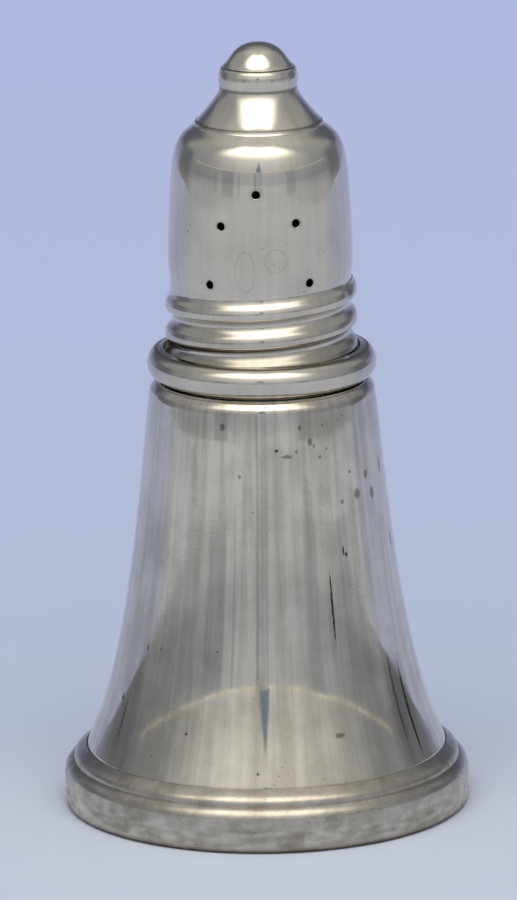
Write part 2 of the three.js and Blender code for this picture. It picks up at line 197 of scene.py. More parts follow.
class ShakerCollar(bpy.types.PropertyGroup):
    """Sizes of the turned collar ring."""

    seat_gap: length("Seat gap", "Shadow line under the bead", 0.3)
    bead_width: length("Bead width", "Half the width of the bead's section", 1.9)
    bead_height: length("Bead height", "Half the height of the bead's section", 2.25)
    bead_centre: length("Bead centre", "Radius of the circle through the bead's centres", 15)
    crease_angle: angle("Crease angle", "Where the bead ends, on its ellipse above level", 72)
    well_radius: length("Well radius", "Wall of the well for the cap", 14.5)
    well_depth: length("Well depth", "From the lip down to the well's floor", 1.62)
    lip_width: length("Lip width", "Flat of the lip with its rounding", 0.3)
    lip_rounding: length("Lip rounding", "Rounded edge of the lip", 0.12)
    spigot_radius: length("Spigot radius", "Outside of the spigot", 13.4)
    bore_radius: length("Bore radius", "Hole for the liner", 12.6)


class ShakerCap(bpy.types.PropertyGroup):
    """Sizes of the spun cap."""

    sheet: length("Sheet", "Thickness of the metal", 0.5)
    radius: length("Radius", "Widest part of the wall", 13.56)
    skirt_radius: length("Skirt radius", "Skirt under the rolled thread", 13.3)
    plain_height: length("Plain height", "From the skirt's edge to the plain wall", 11.5)
    fairing_height: length("Fairing height", "From the skirt out to the wall", 3.2)
    wall_height: length("Wall height", "Wall with the pour holes", 12.5)
    wall_taper: length("Wall taper", "How far the wall leans in", 0.54)
    shoulder_height: length("Shoulder height", "Domed shoulder", 7.9)
    step_width: length("Step width", "Small step between shoulder and cone", 0.22)
    step_height: length("Step height", "Small step between shoulder and cone", 0.53)
    crease_radius: length("Crease radius", "Where the step meets the cone", 9.3)
    cone_height: length("Cone height", "Hollow cone", 5)
    waist_radius: length("Waist radius", "Narrowest part under the crown", 5.71)
    band_width: length("Band width", "Small bead under the button, from the crown's rim out", 0.65)
    band_height: length("Band height", "Small bead under the button, from its widest part up", 1.8)
    band_start: angle("Band start", "Where the small bead leaves the cone, below level", 40)
    crown_radius: length("Crown radius", "Flat top under the button", 5.2)
    shank_hole: length("Shank hole", "Hole in the crown", 2.4)
    hole_radius: length("Pour hole", "Radius of a pour hole", 0.62)
    hole_edge: length("Pour hole edge", "Soft edge round a pour hole", 0.04)
    dent_turn: angle("Dent turn", "Dent at the thread's start, from the right-hand side", -22)
    dent_height: length("Dent height", "Dent above the table", 78)
    dent_depth: length("Dent depth", "Dent at its middle", 0.3)
    dent_size: length("Dent size", "From the dent's middle to its soft rim", 1.2)


class ShakerThread(bpy.types.PropertyGroup):
    """Sizes of the rolled thread and of the glass thread inside it."""

    pitch: length("Pitch", "Rise in one turn", 4.25)
    depth: length("Depth", "From the skirt out to the crest", 0.85)
    rise: length("Rise", "From the skirt's edge to the thread on the right-hand side", 9.8)
    brow_radius: length("Brow radius", "Roundness of a bead above its crest", 2.2)
    brow_angle: angle("Brow angle", "Where that roundness ends, above level", 26)
    belly_radius: length("Belly radius", "Roundness of a bead below its crest", 1.1)
    belly_angle: angle("Belly angle", "Where that roundness ends, below level", 84)
    neck_radius: length("Neck radius", "Narrowest part between two beads", 13.05)
    neck_drop: length("Neck drop", "From a crest down to the neck", 1.75)
    flank: length("Flank", "Upper side of the first bead", 2.5)
    groove_lift: length("Groove lift", "From a crest up to the middle of the groove behind it", 0.5)
    groove_width: length("Groove width", "Half the width of the groove", 1.5)
    ridge_width: length("Ridge width", "Half the width of the glass thread", 1.2)
    ridge_height: length("Ridge height", "How far the groove and the glass thread reach out", 0.8)
    start: angle("Start", "Where the cap's thread has faded out, from the right-hand side", 28)
    run_out: angle("Run-out", "Turn in which the cap's thread fades out", 26)
    glass_start: angle("Glass start", "Where the glass thread has faded out", -60)


class ShakerButton(bpy.types.PropertyGroup):
    """Sizes of the button and its rivet."""

    radius: length("Radius", "Widest part of the button", BUTTON_HIGH.x / MM)
    edge_rounding: length("Edge rounding", "Rounded lower edge", 0.16)
    seat_gap: length("Seat gap", "Seam between the crown and the button", 0.02)
    shank_radius: length("Shank radius", "Shank through the crown", 2.1)
    rivet_radius: length("Rivet radius", "Peened head inside the cap", 3.1)
    rivet_thickness: length("Rivet thickness", "Peened head inside the cap", 1)


class ShakerLiner(bpy.types.PropertyGroup):
    """Sizes of the glass vial."""

    radius: length("Radius", "Outside of the vial", 12.3)
    wall: length("Wall", "Thickness of the glass", 2)
    floor: length("Floor", "Thickness of the closed end", 2.5)
    corner: length("Corner", "Rounding of the closed end", 1.5)
    rim: length("Rim", "Fire-polished rounding of the rim", 0.7)


class ShakerFinishes(bpy.types.PropertyGroup):
    """Colours of the finishes."""

    clean: colour("Clean pewter", "Metal where hands have kept it bright", "DCD4C5")
    stained: colour("Stained pewter", "Grey-brown age film", "B0A898")
    # Also the colour of the painted shade laid into gaps between parts and along the foot's table edge
    tarnish_and_shade: colour("Tarnish", "Brown deposit in the crevices", "4A3D2E")
    tin: colour("Tin", "Tinned sheet", "B5B6B4")
    wool: colour("Wool", "Felt under the foot", "2F4236")
    wool_light: colour("Light wool", "Fibres on top of the felt", "5A6E5C")
    plaster: colour("Plaster", "Filler", "8C8171")
    resin: colour("Pitch", "Dark pitch in the filler", "4B4036")
    glass: colour("Glass", "Pressed glass", "F2F7F5")
    # The paper's shades from near to far are painted light falloff: lighter in front, painted shade
    # behind
    paper_near_lit: colour("Near paper", "Paper in front of the shaker", "DEE6F0")
    paper: colour("Paper", "Paper that the shaker stands on", "D8DFF0")
    paper_behind_shaded: colour("Paper behind", "Paper close behind the shaker", "C9D4F0")
    paper_far_shaded: colour("Far paper", "Paper far behind the shaker", "C4CDFB")


class ShakerStage(bpy.types.PropertyGroup):
    """Camera and light."""

    distance: length("Distance", "Camera to aim", 1165.04)
    elevation: angle("Elevation", "Camera above level", 13.775)
    roll: angle("Roll", "Camera turned about its own axis", -0.715)
    aim_height: length("Aim height", "Point on the axis that the camera looks at", 55.37)
    lens: FloatProperty(
        name="Lens", description="Focal length on a 36 mm frame", default=316.09, unit="CAMERA"
    )
    room: FloatProperty(
        name="Room", description="Strength of the light from the room", default=1.12, min=0
    )
    table_edge: length("Table edge", "From the shaker to the paper's front edge", 1130)


def arc(centre, width, height, start, end, steps=16):
    """Points of an ellipse about a centre, between two angles in degrees above level."""
    angles = [math.radians(start + (end - start) * i / steps) for i in range(steps + 1)]
    return [(centre[0] + width * math.cos(a), centre[1] + height * math.sin(a)) for a in angles]


def bend(start, end, shares, steps=32):
    """Points of a curve between two points, bent by shares of its two spans."""
    handles = [
        Vector((start[0] + (end[0] - start[0]) * across, start[1] + (end[1] - start[1]) * along))
        for across, along in shares
    ]
    points = geometry.interpolate_bezier(Vector(start), *handles, Vector(end), steps + 1)
    return [tuple(point) for point in points]


def refine(outline, spacing):
    """An outline with points added so that no step is longer than spacing."""
    fine = [outline[0]]
    for start, end in zip(outline, outline[1:]):
        span = math.dist(start, end)
        if span < WELD:
            continue
        count = math.ceil(span / spacing)
        for i in range(1, count + 1):
            share = i / count
            radius = start[0] + (end[0] - start[0]) * share
            fine.append((radius, start[1] + (end[1] - start[1]) * share))
    return fine


def inset(outline, sheet):
    """The inner face of a sheet whose outer face is an outline walked upwards."""
    path = [outline[0]] + [b for a, b in zip(outline, outline[1:]) if math.dist(a, b) > WELD]
    inward = []
    for a, b in zip(path, path[1:]):
        span = math.dist(a, b)
        inward.append(((a[1] - b[1]) / span, (b[0] - a[0]) / span))
    inner = []
    for point, before, after in zip(path, inward[:1] + inward, inward + inward[-1:]):
        total = (before[0] + after[0], before[1] + after[1])
        reach = 2 * sheet / (total[0] ** 2 + total[1] ** 2)
        inner.append((point[0] + total[0] * reach, point[1] + total[1] * reach))
    return inner


def radius_at(outline, height):
    """Radius of an outline where it first passes a height."""
    for (r0, z0), (r1, z1) in zip(outline, outline[1:]):
        if z0 <= height <= z1 and z1 > z0:
            return r0 + (r1 - r0) * (height - z0) / (z1 - z0)
    raise ValueError(f"the outline does not reach {height}")


def revolve(outline, steps, closed=True):
    """A mesh turned from an outline of (radius, height) points about the Z axis."""
    mesh = bmesh.new()
    corners = [mesh.verts.new((radius, 0, height)) for radius, height in outline]
    for start, end in zip(corners, corners[1:]):
        mesh.edges.new((start, end))
    if closed:
        mesh.edges.new((corners[-1], corners[0]))
    bmesh.ops.spin(
        mesh, geom=mesh.verts[:] + mesh.edges[:], cent=(0, 0, 0), axis=(0, 0, 1),
        angle=math.tau, steps=steps, use_merge=True,
    )
    bmesh.ops.remove_doubles(mesh, verts=mesh.verts, dist=WELD)
    bmesh.ops.recalc_face_normals(mesh, faces=mesh.faces)
    return mesh


def along(outline):
    """A function that gives the (radius, height) at a share of the way along an outline."""
    radii, heights = zip(*outline)
    steps = [math.dist(a, b) for a, b in zip(outline, outline[1:])]
    passed = [sum(steps[:i]) / sum(steps) for i in range(len(outline))]
    return lambda share: (interp(share, passed, radii), interp(share, passed, heights))


def unsettle(mesh, depth, size, seed, drawn_out=1):
    """Take a mesh slightly out of round, as handwork and use leave it.

    The waves are as long as drawn_out times their width.
    """
    offset = Vector((seed, seed, seed))
    squeeze = Vector((1, 1, 1 / drawn_out)) / size
    for vert in mesh.verts:
        x, y, z = vert.co
        radius = math.hypot(x, y)
        if radius > WELD:
            move = depth * noise.noise(vert.co * squeeze + offset)
            vert.co = (x * (1 + move / radius), y * (1 + move / radius), z)


def paint(data, name, value_at):
    """Store a number from 0 to 1 on each vertex, worked out from its radius, height and place."""
    layer = data.attributes.new(name, "FLOAT", "POINT")
    values = [value_at(math.hypot(v.co.x, v.co.y), v.co.z, v.co) for v in data.vertices]
    layer.data.foreach_set("value", values)


def falloff(gap, reach):
    """1 where there is no gap, falling to 0 at about twice the reach."""
    return math.exp(-(gap / reach) ** 2)


def near(crevices, reach, strength):
    """A function with a strength at the crevices of an outline that falls off within a reach."""
    def value_at(radius, height, _place):
        gap = min(math.dist((radius, height), crevice) for crevice in crevices)
        return strength * falloff(gap, reach)
    return value_at


def add_piece(name, mesh, material, body, slot, node):
    """Link a mesh as a piece that rides on a body and stands for a piece of the frame."""
    data = bpy.data.meshes.new(name)
    mesh.to_mesh(data)
    mesh.free()
    data.materials.append(material)
    piece = bpy.data.objects.new(name, data)
    bpy.context.scene.collection.objects.link(piece)
    data.shade_smooth()
    data.set_sharp_from_angle(angle=SHARP_EDGE)
    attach(piece, body)
    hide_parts(node)
    return piece


def add_node(tree, kind, settings=None, links=None, stops=None):
    """Add a node with its settings, the links into its sockets and the stops of its ramp."""
    node = tree.nodes.new("ShaderNode" + kind)
    for key, value in (settings or {}).items():
        if isinstance(key, str) and hasattr(node, key):
            setattr(node, key, value)
        else:
            node.inputs[key].default_value = value
    for key, source in (links or {}).items():
        tree.links.new(source, node.inputs[key])
    if stops:
        ramp = node.color_ramp
        ramp.elements.remove(ramp.elements[1])
        ramp.elements[0].position, ramp.elements[0].color = stops[0]
        for position, stop_colour in stops[1:]:
            ramp.elements.new(position).color = stop_colour
    return node


def new_material(name):
    """An empty material with its shader and output, as (material, tree, shader)."""
    material = bpy.data.materials.new(name)
    material.use_nodes = True
    tree = material.node_tree
    tree.nodes.clear()
    shader = add_node(tree, "BsdfPrincipled")
    add_node(tree, "OutputMaterial", None, {"Surface": shader.outputs[0]})
    return material, tree, shader


def nearest_mark(tree, chart, marks):
    """Nodes that tell how far a place is from the nearest mark, with 1 at the mark's rim."""
    nearest = None
    for degrees, height, half_degrees, half_height in marks:
        turn, half_turn = math.radians(degrees), math.radians(half_degrees)
        middle = Vector((math.sin(turn), -math.cos(turn), height * MM))
        scale = Vector((1 / half_turn, 1 / half_turn, 1 / (half_height * MM)))
        offset = add_node(
            tree, "VectorMath", {"operation": "MULTIPLY_ADD", 1: scale, 2: -middle * scale}, {0: chart},
        )
        reach = add_node(tree, "VectorMath", {"operation": "LENGTH"}, {0: offset.outputs[0]})
        if nearest:
            both = {0: nearest, 1: reach.outputs["Value"]}
            reach = add_node(tree, "Math", {"operation": "MINIMUM"}, both)
        nearest = reach.outputs["Value"]
    return nearest


def pewter(name, finishes, streak, pitted, film, rough, cloud=11, stains=(), nicks=(), drops=()):
    """Pewter, spun or cast and turned, softly polished long ago.

    It reflects like a worn mirror: sharp enough to show the edges of the room, with a warm grey
    tint, an age film in clouds and in long streaks that run down it, small pits, and brown deposit
    in its crevices, mixed with painted shade that some pieces paint into gaps between parts and
    along the foot's table edge. Stains, nicks and the rims of dried drops lie where use has left them.
    """
    material, tree, shader = new_material(name)
    place = add_node(tree, "TexCoord").outputs["Object"]

    # Direction round the axis, with the height squeezed, so that patterns run up and down
    flat = add_node(tree, "VectorMath", {"operation": "MULTIPLY", 1: (1, 1, 0)}, {0: place})
    round_axis = add_node(tree, "VectorMath", {"operation": "NORMALIZE"}, {0: flat.outputs[0]})
    streak_length = 420 * MM
    streaks_a_radian = 14  # each about 1.4 mm wide on the middle of the bell
    drawn = add_node(
        tree, "VectorMath", {"operation": "MULTIPLY_ADD", 1: (0, 0, 1 / streak_length)},
        {0: place, 2: round_axis.outputs[0]},
    )
    streaks = add_node(
        tree, "TexNoise", {"Scale": streaks_a_radian, "Detail": 3, "Roughness": 0.55},
        {"Vector": drawn.outputs[0]},
    ).outputs["Fac"]

    # The real grain, pits and turning marks are too fine to show, and are drawn coarser
    cloud_size, grain_size, pit_spacing = cloud * MM, 0.7 * MM, 1.2 * MM
    pit_rim, pit_floor = 0.16, 0.05  # shares of the spacing
    clouds = add_node(
        tree, "TexNoise", {"Scale": 1 / cloud_size, "Detail": 5, "Roughness": 0.6}, {"Vector": place},
    ).outputs["Fac"]
    grain = add_node(tree, "TexNoise", {"Scale": 1 / grain_size, "Detail": 3}, {"Vector": place})
    pits = add_node(tree, "TexVoronoi", {"Scale": 1 / pit_spacing, "Randomness": 1}, {"Vector": place})
    pit_field = add_node(
        tree, "MapRange",
        {"interpolation_type": "SMOOTHSTEP", "From Min": pit_rim, "From Max": pit_floor},
        {"Value": pits.outputs["Distance"]},
    )
    first_pits, most_pits = 0.57 - 0.2 * pitted, 0.7  # they gather where the clouds are thick
    gathered = add_node(
        tree, "MapRange", {"From Min": first_pits, "From Max": most_pits}, {"Value": clouds},
    )
    pit_mask = add_node(
        tree, "Math", {"operation": "MULTIPLY"}, {0: pit_field.outputs[0], 1: gathered.outputs[0]},
    ).outputs[0]

    # Turning marks: fine rings left by the lathe
    split = add_node(tree, "SeparateXYZ", None, {0: place})
    ring_spacing = 0.5 * MM
    ring_height = add_node(
        tree, "Math", {"operation": "MULTIPLY", 1: 1 / ring_spacing}, {0: split.outputs["Z"]},
    )
    rings = add_node(
        tree, "TexNoise", {"noise_dimensions": "1D", "Scale": 1, "Detail": 2},
        {"W": ring_height.outputs[0]},
    ).outputs["Fac"]

    # Age film, where clouds and streaks together are thick
    film_sum = add_node(
        tree, "Math", {"operation": "MULTIPLY_ADD", 1: streak}, {0: streaks, 2: clouds},
    )
    thin, thick = 0.35 + streak / 2, 0.65 + streak / 2
    film_mask = add_node(
        tree, "MapRange", {"From Min": thin, "From Max": thick, "To Max": film},
        {"Value": film_sum.outputs[0]},
    ).outputs[0]

    # Marks of use, on a chart of the direction round the axis and the height, with ragged rims
    ragged = add_node(
        tree, "VectorMath", {"operation": "MULTIPLY_ADD", 1: (0.014, 0.014, 0.5 * MM)},
        {0: grain.outputs["Color"], 2: round_axis.outputs[0]},
    )
    chart = add_node(
        tree, "VectorMath", {"operation": "MULTIPLY_ADD", 1: (0, 0, 1)},
        {0: place, 2: ragged.outputs[0]},
    ).outputs[0]
    tarnish_and_shade_masks = [pit_mask]
    for marks, inner, outer, strength in ((stains, 0.6, 1.2, 0.6), (nicks, 0.7, 1.1, 0.95)):
        if marks:
            mark = add_node(
                tree, "MapRange", {
                    "interpolation_type": "SMOOTHSTEP",
                    "From Min": outer, "From Max": inner, "To Max": strength,
                },
                {"Value": nearest_mark(tree, chart, marks)},
            )
            tarnish_and_shade_masks.append(mark.outputs[0])
    if drops:
        rim, rim_width, rim_strength = 1, 0.07, 0.14
        on_rim = add_node(
            tree, "Math", {"operation": "COMPARE", 1: rim, 2: rim_width},
            {0: nearest_mark(tree, chart, drops)},
        )
        faint = add_node(
            tree, "Math", {"operation": "MULTIPLY", 1: rim_strength}, {0: on_rim.outputs[0]},
        )
        tarnish_and_shade_masks.append(faint.outputs[0])
    # Painted on each piece: brown deposit and wear, and painted shade in gaps between parts and at the
    # foot's table edge
    grime_and_shade = add_node(tree, "Attribute", {"attribute_name": "grime_and_shade"}).outputs["Fac"]
    tarnish_and_shade_masks.append(grime_and_shade)

    tone = add_node(
        tree, "Mix", {"data_type": "RGBA", MIX_FIRST: finishes.clean, MIX_SECOND: finishes.stained},
        {0: film_mask},
    )
    for mask in tarnish_and_shade_masks:
        tone = add_node(
            tree, "Mix", {"data_type": "RGBA", MIX_SECOND: finishes.tarnish_and_shade},
            {0: mask, MIX_FIRST: tone.outputs[MIXED]},
        )
    tree.links.new(tone.outputs[MIXED], shader.inputs["Base Color"])

    film_roughness, grime_and_shade_roughness = 0.07, 0.35
    rough_film = add_node(
        tree, "Math", {"operation": "MULTIPLY_ADD", 1: film_roughness, 2: rough}, {0: film_mask},
    )
    rough_all = add_node(
        tree, "Math", {"operation": "MULTIPLY_ADD", 1: grime_and_shade_roughness},
        {0: grime_and_shade, 2: rough_film.outputs[0]},
    )
    tree.links.new(rough_all.outputs[0], shader.inputs["Roughness"])
    shader.inputs["Metallic"].default_value = 1

    # Bump in real depths in mm, from the broad waves to the pits, which alone are sunk
    normal = {}
    for height, depth, sunk in (
        (streaks, 0.006, False), (clouds, 0.006, False), (rings, 0.0003, False),
        (grain.outputs["Fac"], 0.001, False), (pit_mask, 0.02, True),
    ):
        bump = add_node(
            tree, "Bump", {"invert": sunk, "Strength": 1, "Distance": depth * MM},
            {"Height": height, **normal},
        )
        normal = {"Normal": bump.outputs[0]}
    tree.links.new(bump.outputs[0], shader.inputs["Normal"])
    return material


def tinned_sheet(finishes):
    """Tinned steel sheet: dull, with the soft clouds of hot-dipped tin."""
    material, tree, shader = new_material("Tinned sheet")
    place = add_node(tree, "TexCoord").outputs["Object"]
    spangle_size = 4 * MM
    spangle = add_node(tree, "TexVoronoi", {"Scale": 1 / spangle_size}, {"Vector": place})
    smoothest, dullest = 0.32, 0.5
    shade = add_node(
        tree, "MapRange", {"To Min": smoothest, "To Max": dullest},
        {"Value": spangle.outputs["Distance"]},
    )
    tone = add_node(
        tree, "Mix", {"data_type": "RGBA", MIX_FIRST: finishes.tin, MIX_SECOND: finishes.stained},
        {0: spangle.outputs["Distance"]},
    )
    tree.links.new(tone.outputs[MIXED], shader.inputs["Base Color"])
    tree.links.new(shade.outputs[0], shader.inputs["Roughness"])
    shader.inputs["Metallic"].default_value = 1
    return material


def wool_felt(finishes):
    """Pressed wool felt: matt, with a tangle of pale fibres and a soft sheen."""
    material, tree, shader = new_material("Wool felt")
    place = add_node(tree, "TexCoord").outputs["Object"]
    fibre_size, nap_depth = 0.5 * MM, 0.1 * MM  # real fibres are too fine to show
    fibres = add_node(
        tree, "TexNoise", {"Scale": 1 / fibre_size, "Detail": 6, "Roughness": 0.75, "Distortion": 1.5},
        {"Vector": place},
    )
    tone = add_node(
        tree, "Mix", {"data_type": "RGBA", MIX_FIRST: finishes.wool, MIX_SECOND: finishes.wool_light},
        {0: fibres.outputs["Fac"]},
    )
    nap = add_node(
        tree, "Bump", {"Strength": 0.8, "Distance": nap_depth}, {"Height": fibres.outputs["Fac"]},
    )
    tree.links.new(tone.outputs[MIXED], shader.inputs["Base Color"])
    tree.links.new(nap.outputs[0], shader.inputs["Normal"])
    shader.inputs["Roughness"].default_value = 1
    shader.inputs["Sheen Weight"].default_value = 0.4
    return material


def filler(finishes):
    """Plaster and pitch: matt, mottled, with small bubbles."""
    material, tree, shader = new_material("Plaster and pitch")
    place = add_node(tree, "TexCoord").outputs["Object"]
    lump_size = 3 * MM
    lumps = add_node(tree, "TexNoise", {"Scale": 1 / lump_size, "Detail": 6}, {"Vector": place})
    bubble_size, bubble_depth = 1.2 * MM, 0.15 * MM
    bubbles = add_node(tree, "TexVoronoi", {"Scale": 1 / bubble_size}, {"Vector": place})
    tone = add_node(
        tree, "Mix", {"data_type": "RGBA", MIX_FIRST: finishes.resin, MIX_SECOND: finishes.plaster},
        {0: lumps.outputs["Fac"]},
    )
    skin = add_node(
        tree, "Bump", {"Strength": 0.6, "Distance": bubble_depth},
        {"Height": bubbles.outputs["Distance"]},
    )
    tree.links.new(tone.outputs[MIXED], shader.inputs["Base Color"])
    tree.links.new(skin.outputs[0], shader.inputs["Normal"])
    shader.inputs["Roughness"].default_value = 0.85
    return material


def pressed_glass(finishes):
    """Pressed soda glass: clear, with the faint ripple of the mould and a dusty film of salt."""
    material, tree, shader = new_material("Pressed glass")
    place = add_node(tree, "TexCoord").outputs["Object"]
    ripple_size, ripple_depth = 5 * MM, 0.05 * MM
    ripple = add_node(tree, "TexNoise", {"Scale": 1 / ripple_size, "Detail": 2}, {"Vector": place})
    mould = add_node(
        tree, "Bump", {"Strength": 1, "Distance": ripple_depth}, {"Height": ripple.outputs["Fac"]},
    )
    dust_size = 0.8 * MM  # patches of dust, because its grains are too fine to show
    dust = add_node(tree, "TexNoise", {"Scale": 1 / dust_size, "Detail": 4}, {"Vector": place})
    clear, dusty = 0.03, 0.3
    haze = add_node(
        tree, "MapRange", {"From Min": 0.5, "From Max": 0.75, "To Min": clear, "To Max": dusty},
        {"Value": dust.outputs["Fac"]},
    )
    tree.links.new(mould.outputs[0], shader.inputs["Normal"])
    tree.links.new(haze.outputs[0], shader.inputs["Roughness"])
    shader.inputs["Base Color"].default_value = finishes.glass
    shader.inputs["Transmission Weight"].default_value = 1
    shader.inputs["IOR"].default_value = 1.52
    return material


def backdrop_paper(finishes):
    """Matt photographic paper: pale blue-grey, with painted light falloff: painted lighter in front of
    the shaker and painted shade a little deeper behind it.
    """
    material, tree, shader = new_material("Backdrop paper")
    place = add_node(tree, "TexCoord").outputs["Object"]
    split = add_node(tree, "SeparateXYZ", None, {0: place})
    front, beside, close, back = -0.5, 0, 0.1, 0.7  # metres behind the shaker
    depth = add_node(
        tree, "MapRange", {"From Min": front, "From Max": back}, {"Value": split.outputs["Y"]},
    )
    # Painted light falloff: the paper's colour is painted lighter in front and darker behind, where
    # less light falls
    tone = add_node(tree, "ValToRGB", None, {0: depth.outputs[0]}, stops=[
        ((y - front) / (back - front), shade) for y, shade in (
            (front, finishes.paper_near_lit), (beside, finishes.paper),
            (close, finishes.paper_behind_shaded), (back, finishes.paper_far_shaded),
        )
    ])
    fibre_size, tooth_depth = 1.5 * MM, 0.02 * MM  # the real tooth is too fine to show
    fibres = add_node(tree, "TexNoise", {"Scale": 1 / fibre_size, "Detail": 3}, {"Vector": place})
    tooth = add_node(
        tree, "Bump", {"Strength": 0.3, "Distance": tooth_depth}, {"Height": fibres.outputs["Fac"]},
    )
    tree.links.new(tone.outputs[0], shader.inputs["Base Color"])
    tree.links.new(tooth.outputs[0], shader.inputs["Normal"])
    shader.inputs["Roughness"].default_value = 0.9
    shader.inputs["Specular IOR Level"].default_value = 0.2
    return material


class SHAKER_OT_foot(bpy.types.Operator):
    """Turn the foot moulding with its flange, shoulder, crease and lip"""

    bl_idname = "shaker.foot"
    bl_label = "Foot moulding"
    bl_options = {"REGISTER", "UNDO"}

    def execute(self, context):
        foot, body = context.scene.shaker_foot, context.scene.shaker_body
        rounding = foot.edge_rounding
        edge = arc((foot.radius - rounding, rounding), rounding, rounding, -90, 0, steps=8)
        shoulder_centre = (foot.radius - foot.shoulder_width, foot.wall_height)
        crease_degrees = math.degrees(foot.crease_angle)
        shoulder = arc(
            shoulder_centre, foot.shoulder_width, foot.shoulder_height, 0, crease_degrees, steps=24
        )
        crease = shoulder[-1]
        lip_face = body.foot_radius + foot.lip_gap
        lip_centre = (lip_face + foot.lip_rounding, FOOT_HIGH.z - foot.lip_drop - foot.lip_rounding)
        lip = arc(lip_centre, foot.lip_rounding, foot.lip_rounding, 45, 180, steps=6)
        inner_top = BODY_LOW.z
        inner_corner = foot.radius - 2 * foot.sheet
        outline = [
            (foot.radius - foot.flange_width, 0),
            *edge,
            *shoulder,
            *bend(crease, lip[0], LIP_SHARES, steps=24)[1:],
            *lip[1:],
            (lip_face, inner_top),
            (inner_corner, inner_top),
            (foot.radius - foot.sheet, inner_top - foot.sheet),
            (foot.radius - foot.sheet, foot.sheet),
            (foot.radius - foot.flange_width, foot.sheet),
        ]
        mesh = revolve(refine(outline, spacing=0.35 * MM), SPIN_STEPS)
        unsettle(mesh, depth=0.05 * MM, size=9 * MM, seed=3)
        metal = pewter(
            "Turned pewter", context.scene.shaker_finishes,
            streak=0.2, pitted=1, film=0.9, rough=0.16, cloud=4,
        )
        piece = add_piece("foot_moulding", mesh, metal, "base", "cast_metal", "foot_ring")
        # Brown deposit in the crease, painted shade along the edge that stands on the table, and a dull
        # scuffed film on the wall
        in_crease = near([crease], reach=0.2 * MM, strength=0.4)
        table_edge_shade = near([(foot.radius, 0)], reach=0.7 * MM, strength=1)
        scuff_size = 2.2 * MM
        squeeze = Vector((1, 1, 3)) / scuff_size  # scuffs run round the foot
        dulled, scuffing = 0.22, 0.4

        def dirt_and_shade(radius, height, place):
            on_wall = smooth((foot.wall_height - height) / foot.shoulder_height)
            scuffed = dulled + scuffing * noise.noise(place * squeeze) * on_wall
            return max(in_crease(radius, height, place), table_edge_shade(radius, height, place), scuffed)

        paint(piece.data, "grime_and_shade", dirt_and_shade)
        return {"FINISHED"}


def bell_outline(foot, body):
    """Outer face of the bell, from its edge inside the foot up to the hole in its shoulder."""
    corner_bottom = BODY_HIGH.z - body.corner_height
    lip_height = FOOT_HIGH.z - foot.lip_drop
    bell = bend(
        (body.top_radius, corner_bottom), (body.foot_radius, lip_height), BELL_SHARES, steps=80
    )
    ease_start = corner_bottom - body.ease_height
    eased = [
        (radius - body.ease_depth * max(height - ease_start, 0) / body.ease_height, height)
        for radius, height in reversed(bell)
    ]
    corner_top = (body.top_radius - body.corner_width, BODY_HIGH.z)
    return [
        (body.foot_radius, BODY_LOW.z),
        *eased,
        *bend(eased[-1], corner_top, CORNER_SHARES, steps=16)[1:],
        (body.hole_radius, BODY_HIGH.z),
    ]


class SHAKER_OT_body(bpy.types.Operator):
    """Spin the bell-shaped body"""

    bl_idname = "shaker.body"
    bl_label = "Bell"
    bl_options = {"REGISTER", "UNDO"}

    def execute(self, context):
        scene = context.scene
        outer = refine(bell_outline(scene.shaker_foot, scene.shaker_body), spacing=0.8 * MM)
        inner = inset(outer, scene.shaker_body.sheet)
        mesh = revolve(outer + inner[::-1], SPIN_STEPS)
        unsettle(mesh, depth=0.05 * MM, size=16 * MM, seed=7)
        unsettle(mesh, depth=0.02 * MM, size=4 * MM, seed=17, drawn_out=8)
        metal = pewter(
            "Spun pewter", scene.shaker_finishes,
            streak=0.8, pitted=0.2, film=0.7, rough=0.05, stains=STAINS, nicks=NICKS,
        )
        piece = add_piece("bell", mesh, metal, "base", "spun_metal", "body_shell")
        # Painted shade on the bell's top, in the gap under the collar's bead
        shade_under_collar = (scene.shaker_collar.bead_centre, BODY_HIGH.z)
        paint(piece.data, "grime_and_shade", near([shade_under_collar], reach=0.3 * MM, strength=1))
        return {"FINISHED"}


class SHAKER_OT_collar(bpy.types.Operator):
    """Turn the collar ring with its bead, lip, well and spigot"""

    bl_idname = "shaker.collar"
    bl_label = "Collar ring"
    bl_options = {"REGISTER", "UNDO"}

    def execute(self, context):
        collar = context.scene.shaker_collar
        seat = BODY_HIGH.z + collar.seat_gap
        bead_centre = (collar.bead_centre, seat + collar.bead_height)
        crease_degrees = math.degrees(collar.crease_angle)
        bead = arc(bead_centre, collar.bead_width, collar.bead_height, -90, crease_degrees, steps=40)
        rounding = collar.lip_rounding
        lip_centre = (collar.well_radius + rounding, COLLAR_HIGH.z - rounding)
        well_floor = COLLAR_HIGH.z - collar.well_depth
        outline = [
            (collar.bore_radius, COLLAR_LOW.z),
            (collar.spigot_radius, COLLAR_LOW.z),
            (collar.spigot_radius, seat),
            *bead,
            (collar.well_radius + collar.lip_width, COLLAR_HIGH.z - rounding / 3),
            *arc(lip_centre, rounding, rounding, 80, 180, steps=6),
            (collar.well_radius, well_floor),
            (collar.bore_radius, well_floor),
        ]
        mesh = revolve(refine(outline, spacing=0.3 * MM), SPIN_STEPS)
        unsettle(mesh, depth=0.03 * MM, size=8 * MM, seed=11)
        metal = pewter(
            "Turned pewter ring", context.scene.shaker_finishes,
            streak=0.2, pitted=0.3, film=0.5, rough=0.08,
        )
        piece = add_piece("collar", mesh, metal, "base", "cast_metal", "collar_ring")
        # Painted shade in the gap under the bead, and brown deposit with painted shade in the crease
        # above it and in the corner of the well
        crevices = [bead[-1], (collar.well_radius, well_floor), bead[0]]
        paint(piece.data, "grime_and_shade", near(crevices, reach=0.3 * MM, strength=0.8))
        return {"FINISHED"}


def smooth(value):
    """A soft step from 0 to 1."""
    share = min(max(value, 0), 1)
    return share * share * (3 - 2 * share)


